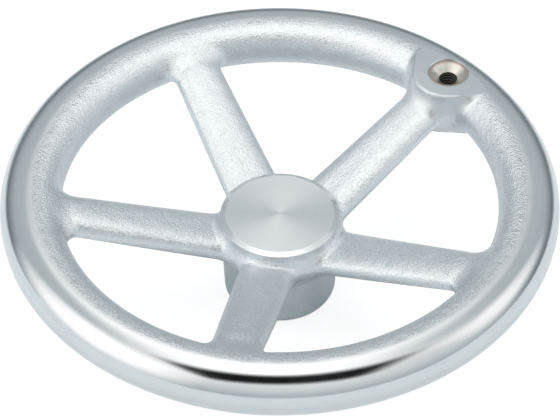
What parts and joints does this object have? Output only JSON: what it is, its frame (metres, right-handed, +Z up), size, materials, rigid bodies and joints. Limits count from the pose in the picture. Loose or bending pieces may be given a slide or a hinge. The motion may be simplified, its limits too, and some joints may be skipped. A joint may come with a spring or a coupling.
{
  "type": "machine handwheel",
  "caption": "Spoked cast aluminium handwheel with a polished rim, a solid raised hub turned on its face, and a steel threaded bush at the rim for a handle.",
  "frame": {"origin": "centre of the hub's bottom face", "axes": "+Z up the wheel's axis from the hub's bottom face towards its turned top face, +X from the wheel's axis towards the handle boss"},
  "size_m": [0.2, 0.2, 0.0537],
  "materials": {
    "cast_aluminium": "blasted casting, with a turned hub face and a polished outer rim",
    "bush_steel": "plain turned steel, threaded"
  },
  "bodies": {
    "root": {"wheel_casting": "cast_aluminium", "handle_bush": "bush_steel"}
  },
  "joints": []
}
